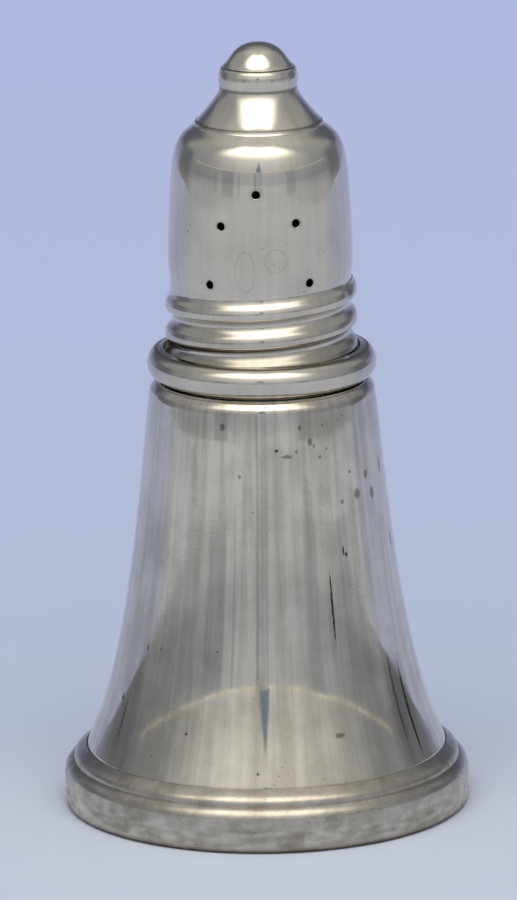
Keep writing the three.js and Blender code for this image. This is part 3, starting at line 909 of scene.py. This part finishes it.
def thread_top(thread, start, turn):
    """Angle below a thread's upper end and height of its highest crest at an angle round the axis."""
    fallen = (start - turn) % math.tau
    return fallen, CAP_LOW.z + thread.rise + thread.pitch * (start - fallen) / math.tau


def rolled_thread(thread, root):
    """A function that gives the (radius, height) to which a place on the plain skirt is rolled.

    Each bead is round in front, turns back into a neck below, and rises from the neck above it.
    """
    crest = root + thread.depth
    brow_radius, belly_radius = thread.brow_radius, thread.belly_radius
    brow_degrees, belly_degrees = math.degrees(thread.brow_angle), math.degrees(thread.belly_angle)
    brow = arc((crest - brow_radius, 0), brow_radius, brow_radius, 0, brow_degrees, steps=12)
    flank_top = (root, thread.flank)
    first_flank = brow + bend(brow[-1], flank_top, FIRST_FLANK_SHARES, steps=16)[1:]
    belly = arc((crest - belly_radius, 0), belly_radius, belly_radius, 0, -belly_degrees, steps=24)
    neck = (thread.neck_radius, -thread.neck_drop)
    next_brow = [(radius, height - thread.pitch) for radius, height in reversed(brow)]
    one_turn = along([
        *belly,
        *bend(belly[-1], neck, HOLLOW_SHARES, steps=8)[1:],
        *bend(neck, next_brow[0], FLANK_SHARES, steps=24)[1:],
        *next_brow[1:],
    ])

    def below(top, height):
        """Place on a thread whose highest crest is at top."""
        if height >= top:
            above = height - top
            return (radius_at(first_flank, above) if above < thread.flank else root), height
        turns, share = divmod((top - height) / thread.pitch, 1)
        radius, drop = one_turn(share)
        return radius, top - turns * thread.pitch + drop

    def rolled(turn, height):
        fallen, top = thread_top(thread, thread.start, turn)
        faded = Vector(below(top - thread.pitch, height))
        return faded.lerp(Vector(below(top, height)), smooth(fallen / thread.run_out))

    return rolled


def ridge(thread, start, turn, height, half_width, lowest=0):
    """How far a wound ridge stands out at an angle round the axis and a height."""
    fallen, top = thread_top(thread, start, turn)
    fade_height = thread.pitch / 8  # over which it fades out at its lowest place
    rise = 0
    for turns in range(5):
        middle = top + thread.groove_lift - thread.pitch * turns
        offset = (height - middle) / half_width
        if abs(offset) < 1:
            fullness = smooth((fallen + math.tau * turns) / thread.run_out)
            fullness *= smooth((middle - lowest) / fade_height)
            rise = max(rise, fullness * thread.ridge_height * math.cos(math.pi / 2 * offset) ** 2)
    return rise


def cap_outline(cap):
    """Outer face of the cap, from the skirt's edge up to the hole in its crown, in two stretches."""
    plain = CAP_LOW.z + cap.plain_height
    wall_bottom = plain + cap.fairing_height
    wall_top = wall_bottom + cap.wall_height
    crease_height = wall_top + cap.shoulder_height
    cone_top = crease_height + cap.cone_height
    shoulder_start = (cap.radius - cap.wall_taper, wall_top)
    crease = (cap.crease_radius, crease_height)
    step_foot = (cap.crease_radius + cap.step_width, crease_height - cap.step_height)
    band_centre = (cap.crown_radius, CAP_HIGH.z - cap.band_height)
    band_degrees = math.degrees(cap.band_start)
    fairing = bend((cap.skirt_radius, plain), (cap.radius, wall_bottom), FAIRING_SHARES, steps=12)
    skirt = [(cap.skirt_radius, CAP_LOW.z), *fairing]
    dome = [
        *bend(fairing[-1], shoulder_start, WALL_SHARES, steps=24),
        *bend(shoulder_start, step_foot, SHOULDER_SHARES, steps=48)[1:],
        *bend(crease, (cap.waist_radius, cone_top), CONE_SHARES, steps=36),
        *arc(band_centre, cap.band_width, cap.band_height, -band_degrees, 90, steps=24)[1:],
        (cap.shank_hole, CAP_HIGH.z),
    ]
    return skirt, dome


def pour_drill(cap, turn, height, surface):
    """A drill with a soft edge, set square to the axis through the cap's wall."""
    edge = cap.hole_edge
    reach = 3 * cap.sheet
    flare = cap.hole_radius + edge
    outline = [
        (0, -reach),
        (cap.hole_radius, -reach),
        (cap.hole_radius, -edge),
        *arc((flare, -edge), edge, edge, 180, 100, steps=6)[1:],
        (flare + edge, edge),
        (flare + reach, reach),
        (0, reach),
    ]
    drill = revolve(outline, steps=24, closed=False)
    lie_down = Matrix.Rotation(math.radians(90), 4, "X")
    put = Matrix.Rotation(turn, 4, "Z") @ Matrix.Translation((0, -surface, height)) @ lie_down
    bmesh.ops.transform(drill, matrix=put, verts=drill.verts)
    return drill


def joined(meshes, name):
    """Several meshes as one object, which is not part of the shaker."""
    data = bpy.data.meshes.new(name)
    whole = bmesh.new()
    for mesh in meshes:
        mesh.to_mesh(data)
        mesh.free()
        whole.from_mesh(data)
    whole.to_mesh(data)
    whole.free()
    tool = bpy.data.objects.new(name, data)
    bpy.context.scene.collection.objects.link(tool)
    return tool


def cut(piece, tool):
    """Cut a tool out of a piece, keep the result as its mesh and delete the tool."""
    modifier = piece.modifiers.new("Pour holes", "BOOLEAN")
    modifier.operation = "DIFFERENCE"
    modifier.solver = "EXACT"
    modifier.object = tool
    evaluated = piece.evaluated_get(bpy.context.evaluated_depsgraph_get())
    data = bpy.data.meshes.new_from_object(evaluated)
    piece.modifiers.remove(modifier)
    piece.data = data
    tool_data = tool.data
    bpy.data.objects.remove(tool)
    bpy.data.meshes.remove(tool_data)


class SHAKER_OT_cap(bpy.types.Operator):
    """Spin the cap, roll its thread and pierce its pour holes"""

    bl_idname = "shaker.cap"
    bl_label = "Cap"
    bl_options = {"REGISTER", "UNDO"}

    def execute(self, context):
        cap, thread = context.scene.shaker_cap, context.scene.shaker_thread
        skirt, dome = cap_outline(cap)
        inner = inset(refine(skirt + dome, spacing=0.5 * MM), cap.sheet)
        outer = refine(skirt, spacing=0.07 * MM) + refine(dome, spacing=0.25 * MM)[1:]
        mesh = revolve(outer + refine(inner[::-1], spacing=0.3 * MM), FINE_STEPS)
        plain = CAP_LOW.z + cap.plain_height
        bore = cap.skirt_radius - cap.sheet
        outer_from = cap.skirt_radius - cap.sheet / 2
        rolled = rolled_thread(thread, cap.skirt_radius)
        edge_fade = 0.8 * MM  # above the skirt's edge, where the rolling stops short of moving it
        dent = Vector((
            cap.radius * math.cos(cap.dent_turn), cap.radius * math.sin(cap.dent_turn), cap.dent_height,
        ))
        for vert in mesh.verts:
            if vert.co.z > plain:
                continue
            radius, turn = math.hypot(vert.co.x, vert.co.y), math.atan2(vert.co.y, vert.co.x)
            if radius > outer_from:
                new_radius, height = rolled(turn, vert.co.z)
                vert.co.z += (height - vert.co.z) * smooth((vert.co.z - CAP_LOW.z) / edge_fade)
                new_radius -= cap.dent_depth * falloff((vert.co - dent).length, cap.dent_size)
            else:
                new_radius = bore + ridge(thread, thread.start, turn, vert.co.z, thread.groove_width)
            vert.co.xy *= new_radius / radius
        unsettle(mesh, depth=0.03 * MM, size=12 * MM, seed=5)
        metal = pewter(
            "Spun pewter cap", context.scene.shaker_finishes,
            streak=0.4, pitted=0.3, film=0.4, rough=0.06, drops=DRIED_DROPS,
        )
        piece = add_piece("cap", mesh, metal, "cap", "spun_metal", "cap_shell")

        wall = refine(skirt + dome, spacing=0.25 * MM)
        wall_span = cap.fairing_height + cap.wall_height
        drills, holes = [], []
        for degrees, share in HOLES:
            turn, height = math.radians(degrees), plain + wall_span * share
            surface = radius_at(wall, height)
            drills.append(pour_drill(cap, turn, height, surface))
            holes.append(Vector((surface * math.sin(turn), -surface * math.cos(turn), height)))
        cut(piece, joined(drills, "drills"))

        # Brown deposit with painted shade in the creases and in the corners under the beads, deposit
        # round the holes, darker in the dent, more of it on the lower beads, which are dull as well
        crease = (cap.crease_radius, plain + wall_span + cap.shoulder_height)
        waist = (cap.waist_radius, crease[1] + cap.cone_height)
        line_reach = 0.2 * MM
        crevices = near([crease, waist], line_reach, strength=0.7)
        corner_drop = 1.3 * MM  # from a crest down to the corner under its bead
        round_holes, in_dent = 0.25, 0.5
        first_corner, more_a_turn, most = 0.35, 0.3, 0.65
        second_bead, third_bead, fade = 0.35, 1.35, 0.25  # turns below the highest crest
        second_dull, third_dull = 0.1, 0.25

        def dirt_and_shade(radius, height, place):
            if height > plain or radius < outer_from:
                gap = min((place - hole).length for hole in holes) - cap.hole_radius
                return max(crevices(radius, height, place), round_holes * falloff(gap, line_reach))
            _, top = thread_top(thread, thread.start, math.atan2(place.y, place.x))
            dented = in_dent * falloff((place - dent).length, cap.dent_size)
            if height > top:
                return dented
            wound = (top - height) / thread.pitch
            line = falloff(wound % 1 * thread.pitch - corner_drop, line_reach)
            dulled = second_dull * smooth((wound - second_bead) / fade)
            dulled += third_dull * smooth((wound - third_bead) / fade)
            return max(line * min(first_corner + more_a_turn * wound, most), dented, dulled)

        paint(piece.data, "grime_and_shade", dirt_and_shade)
        return {"FINISHED"}


class SHAKER_OT_button(bpy.types.Operator):
    """Turn the button with its shank and rivet"""

    bl_idname = "shaker.button"
    bl_label = "Button"
    bl_options = {"REGISTER", "UNDO"}

    def execute(self, context):
        button, cap = context.scene.shaker_button, context.scene.shaker_cap
        seat = CAP_HIGH.z + button.seat_gap
        edge_centre = (button.radius - button.edge_rounding, seat + button.edge_rounding)
        edge = arc(edge_centre, button.edge_rounding, button.edge_rounding, -90, 20, steps=8)
        rivet_top = BUTTON_LOW.z + button.rivet_thickness
        outline = [
            (0, BUTTON_LOW.z),
            (button.rivet_radius * 0.8, BUTTON_LOW.z),
            (button.rivet_radius, BUTTON_LOW.z + button.rivet_thickness / 2),
            (button.rivet_radius, rivet_top),
            (button.shank_radius, rivet_top),
            (button.shank_radius, seat),
            *edge,
            *bend(edge[-1], (0, BUTTON_HIGH.z), BUTTON_SHARES, steps=40)[1:],
        ]
        mesh = revolve(refine(outline, spacing=0.2 * MM), FINE_STEPS, closed=False)
        metal = pewter(
            "Turned pewter button", context.scene.shaker_finishes,
            streak=0.2, pitted=0.2, film=0.4, rough=0.08,
        )
        piece = add_piece("button", mesh, metal, "cap_carrier", "cast_metal", "finial")
        paint(piece.data, "grime_and_shade", near([(button.radius, seat)], reach=0.15 * MM, strength=0.5))
        return {"FINISHED"}


class SHAKER_OT_liner(bpy.types.Operator):
    """Press the glass vial with the thread on its neck"""

    bl_idname = "shaker.liner"
    bl_label = "Glass liner"
    bl_options = {"REGISTER", "UNDO"}

    def execute(self, context):
        liner, thread = context.scene.shaker_liner, context.scene.shaker_thread
        bore = liner.radius - liner.wall
        corner, rim = liner.corner, liner.rim
        floor_top = LINER_LOW.z + liner.floor
        outer_corner = (liner.radius - corner, LINER_LOW.z + corner)
        inner_corner = (bore - corner, floor_top + corner)
        rim_height = LINER_HIGH.z - rim
        outer = [
            (0, LINER_LOW.z),
            *arc(outer_corner, corner, corner, -90, 0, steps=8),
            (liner.radius, COLLAR_HIGH.z - 2 * thread.pitch),
        ]
        neck = [outer[-1], *arc((liner.radius - rim, rim_height), rim, rim, 0, 90, steps=8)]
        inner = [
            *arc((bore + rim, rim_height), rim, rim, 90, 180, steps=8),
            *arc(inner_corner, corner, corner, 0, -90, steps=8),
            (0, floor_top),
        ]
        coarse, fine = 1.5 * MM, 0.12 * MM  # the neck is fine, for its thread
        outline = refine(outer, coarse) + refine(neck, fine)[1:] + refine(inner, coarse)
        mesh = revolve(outline, FINE_STEPS, closed=False)
        lowest = CAP_LOW.z + 0.6 * thread.pitch  # where the glass thread fades out
        for vert in mesh.verts:
            radius, turn = math.hypot(vert.co.x, vert.co.y), math.atan2(vert.co.y, vert.co.x)
            if radius < liner.radius - liner.wall / 4:
                continue
            rise = ridge(thread, thread.glass_start, turn, vert.co.z, thread.ridge_width, lowest)
            vert.co.xy *= (radius + rise) / radius
        glass = pressed_glass(context.scene.shaker_finishes)
        add_piece("vial", mesh, glass, "base", "glass", "glass_liner")
        return {"FINISHED"}


class SHAKER_OT_base(bpy.types.Operator):
    """Cut the disc and the felt that close the foot, and finish the filler"""

    bl_idname = "shaker.base"
    bl_label = "Base disc, felt and filler"
    bl_options = {"REGISTER", "UNDO"}

    def execute(self, context):
        finishes = context.scene.shaker_finishes
        rounding = 0.15 * MM
        for name, low, high, material, slot, node in (
            ("closing_disc", DISC_LOW, DISC_HIGH, tinned_sheet(finishes), "plate", "base_disc"),
            ("felt_disc", FELT_LOW, FELT_HIGH, wool_felt(finishes), "felt", "felt_pad"),
        ):
            outline = [
                (0, low.z),
                *arc((high.x - rounding, low.z + rounding), rounding, rounding, -90, 0, steps=4),
                *arc((high.x - rounding, high.z - rounding), rounding, rounding, 0, 90, steps=4),
                (0, high.z),
            ]
            mesh = revolve(refine(outline, spacing=1 * MM), SPIN_STEPS, closed=False)
            add_piece(name, mesh, material, "base", slot, node)
        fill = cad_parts["weight_fill"]
        fill.data.materials.clear()
        fill.data.materials.append(filler(finishes))
        return {"FINISHED"}


def studio_room(scene, strength):
    """A plain studio: a wide soft lamp in front and above, a pale wall with a trim, dim sides."""
    world = bpy.data.worlds.new("Studio")
    world.use_nodes = True
    tree = world.node_tree
    tree.nodes.clear()
    way = add_node(tree, "TexCoord").outputs["Generated"]
    split = add_node(tree, "SeparateXYZ", None, {0: way})
    rise = add_node(tree, "Math", {"operation": "ARCSINE"}, {0: split.outputs["Z"]}).outputs[0]
    ahead = add_node(tree, "Math", {"operation": "MULTIPLY", 1: -1}, {0: split.outputs["Y"]})
    turn = add_node(
        tree, "Math", {"operation": "ARCTAN2"}, {0: split.outputs["X"], 1: ahead.outputs[0]},
    ).outputs[0]
    aside = add_node(tree, "Math", {"operation": "ABSOLUTE"}, {0: turn}).outputs[0]

    def within(value, middle, half, soft, full=1):
        """Nodes that are full within so many degrees of a middle and fade to 0."""
        offset = add_node(tree, "Math", {"operation": "SUBTRACT", 1: math.radians(middle)}, {0: value})
        apart = add_node(tree, "Math", {"operation": "ABSOLUTE"}, {0: offset.outputs[0]})
        return add_node(
            tree, "MapRange", {
                "interpolation_type": "SMOOTHSTEP", "To Max": full,
                "From Min": math.radians(half + soft), "From Max": math.radians(half),
            },
            {"Value": apart.outputs[0]},
        ).outputs[0]

    def laid_over(under, shade, *masks):
        """Nodes that lay a shade over another, where all the masks are 1."""
        mask = masks[0]
        for other in masks[1:]:
            mask = add_node(tree, "Math", {"operation": "MULTIPLY"}, {0: mask, 1: other}).outputs[0]
        settings, links = {"data_type": "RGBA"}, {0: mask, MIX_FIRST: under}
        if isinstance(shade, tuple):
            settings[MIX_SECOND] = shade
        else:
            links[MIX_SECOND] = shade
        return add_node(tree, "Mix", settings, links).outputs[MIXED]

    lowest, highest = FRONT_WALL[0][0], ZENITH[0]
    height = add_node(
        tree, "MapRange", {"From Min": math.radians(lowest), "From Max": math.radians(highest)},
        {"Value": rise},
    ).outputs[0]
    front, side, behind = [
        add_node(tree, "ValToRGB", None, {0: height}, stops=[
            ((degrees - lowest) / (highest - lowest), (*shade, 1)) for degrees, *shade in wall
        ]).outputs[0]
        for wall in (FRONT_WALL, SIDE_WALLS, REAR_WALL)
    ]
    room = laid_over(side, front, within(aside, middle=0, half=15, soft=75))
    room = laid_over(
        room, DARK_CORNER,
        within(aside, middle=120, half=8, soft=18), within(rise, middle=6, half=6, soft=14),
    )
    room = laid_over(room, behind, within(aside, middle=180, half=35, soft=20))
    room = laid_over(
        room, LAMP, within(turn, middle=-4, half=40, soft=34),
        within(rise, middle=63, half=9, soft=28), within(rise, middle=40, half=34, soft=6),
    )

    low_down = within(rise, middle=3, half=6.5, soft=0.5)
    for degrees, half, share in STANDS:
        room = laid_over(room, STAND, within(turn, degrees, half, half * 0.6, full=share), low_down)
    on_trim = within(rise, middle=10.2, half=0.15, soft=0.25)
    room = laid_over(room, TRIM, on_trim, within(aside, middle=0, half=92, soft=8))

    # A narrow dark gusset with a pale rim, which hangs down to the trim
    gusset_turn, gusset_slope = math.radians(-1), 3.4
    off_middle = add_node(tree, "Math", {"operation": "SUBTRACT", 1: gusset_turn}, {0: turn})
    beside = add_node(tree, "Math", {"operation": "ABSOLUTE"}, {0: off_middle.outputs[0]})
    drop = add_node(
        tree, "Math", {"operation": "MULTIPLY_ADD", 1: gusset_slope}, {0: beside.outputs[0], 2: rise},
    ).outputs[0]
    above_trim = within(rise, middle=20, half=9.6, soft=0.3)
    room = laid_over(room, TRIM, within(drop, middle=25.5, half=0.6, soft=0.8), above_trim)
    room = laid_over(room, GUSSET, within(drop, middle=0, half=24, soft=1), above_trim)

    background = add_node(tree, "Background", {"Strength": strength}, {"Color": room})
    add_node(tree, "OutputWorld", None, {"Surface": background.outputs[0]})
    scene.world = world


class SHAKER_OT_stage(bpy.types.Operator):
    """Lay the paper, light the room and set up the camera"""

    bl_idname = "shaker.stage"
    bl_label = "Stage"
    bl_options = {"REGISTER", "UNDO"}

    def execute(self, context):
        scene = context.scene
        stage = scene.shaker_stage

        ground = bmesh.new()
        bmesh.ops.create_grid(ground, x_segments=8, y_segments=8, size=1)
        half_width, half_length, below_foot = 0.8, 2, 0.05 * MM
        bmesh.ops.scale(ground, vec=(half_width, half_length, 1), verts=ground.verts)
        shift = Vector((0, half_length - stage.table_edge, -below_foot))
        bmesh.ops.translate(ground, vec=shift, verts=ground.verts)
        data = bpy.data.meshes.new("paper")
        ground.to_mesh(data)
        ground.free()
        data.materials.append(backdrop_paper(scene.shaker_finishes))
        paper = bpy.data.objects.new("paper", data)
        scene.collection.objects.link(paper)

        lens = bpy.data.cameras.new("camera")
        lens.lens = stage.lens
        lens.sensor_fit = "VERTICAL"
        lens.sensor_height = 36
        picture_height = 900
        right, up = -4.198, -14.482  # pixels by which the picture is shifted
        lens.shift_x, lens.shift_y = right / picture_height, up / picture_height
        lens.clip_end = 20
        camera = bpy.data.objects.new("camera", lens)
        aim = Vector((0, 0, stage.aim_height))
        way = Vector((0, -math.cos(stage.elevation), math.sin(stage.elevation)))
        camera.location = aim + way * stage.distance
        turned = way.to_track_quat("Z", "Y").to_matrix() @ Matrix.Rotation(stage.roll, 3, "Z")
        camera.rotation_euler = turned.to_euler()
        scene.collection.objects.link(camera)
        scene.camera = camera

        studio_room(scene, stage.room)
        scene.view_settings.view_transform = "Standard"
        return {"FINISHED"}


class SHAKER_PT_pieces(bpy.types.Panel):
    """Lists the pieces of the shaker and the stage"""

    bl_label = "Salt Shaker"
    bl_space_type = "VIEW_3D"
    bl_region_type = "UI"
    bl_category = "Shaker"

    def draw(self, context):
        for operator in OPERATORS:
            self.layout.operator(operator.bl_idname)


GROUPS = {
    "shaker_foot": ShakerFoot,
    "shaker_body": ShakerBody,
    "shaker_collar": ShakerCollar,
    "shaker_cap": ShakerCap,
    "shaker_thread": ShakerThread,
    "shaker_button": ShakerButton,
    "shaker_liner": ShakerLiner,
    "shaker_finishes": ShakerFinishes,
    "shaker_stage": ShakerStage,
}
OPERATORS = (
    SHAKER_OT_foot,
    SHAKER_OT_base,
    SHAKER_OT_body,
    SHAKER_OT_collar,
    SHAKER_OT_liner,
    SHAKER_OT_cap,
    SHAKER_OT_button,
    SHAKER_OT_stage,
)


def register():
    for name, group in GROUPS.items():
        bpy.utils.register_class(group)
        setattr(bpy.types.Scene, name, PointerProperty(type=group))
    for made in (*OPERATORS, SHAKER_PT_pieces):
        bpy.utils.register_class(made)


def unregister():
    for made in (SHAKER_PT_pieces, *reversed(OPERATORS)):
        bpy.utils.unregister_class(made)
    for name, group in reversed(GROUPS.items()):
        delattr(bpy.types.Scene, name)
        bpy.utils.unregister_class(group)


def main():
    register()
    bpy.ops.shaker.foot()
    bpy.ops.shaker.base()
    bpy.ops.shaker.body()
    bpy.ops.shaker.collar()
    bpy.ops.shaker.liner()
    bpy.ops.shaker.cap()
    bpy.ops.shaker.button()
    bpy.ops.shaker.stage()


if __name__ == "__main__":
    main()
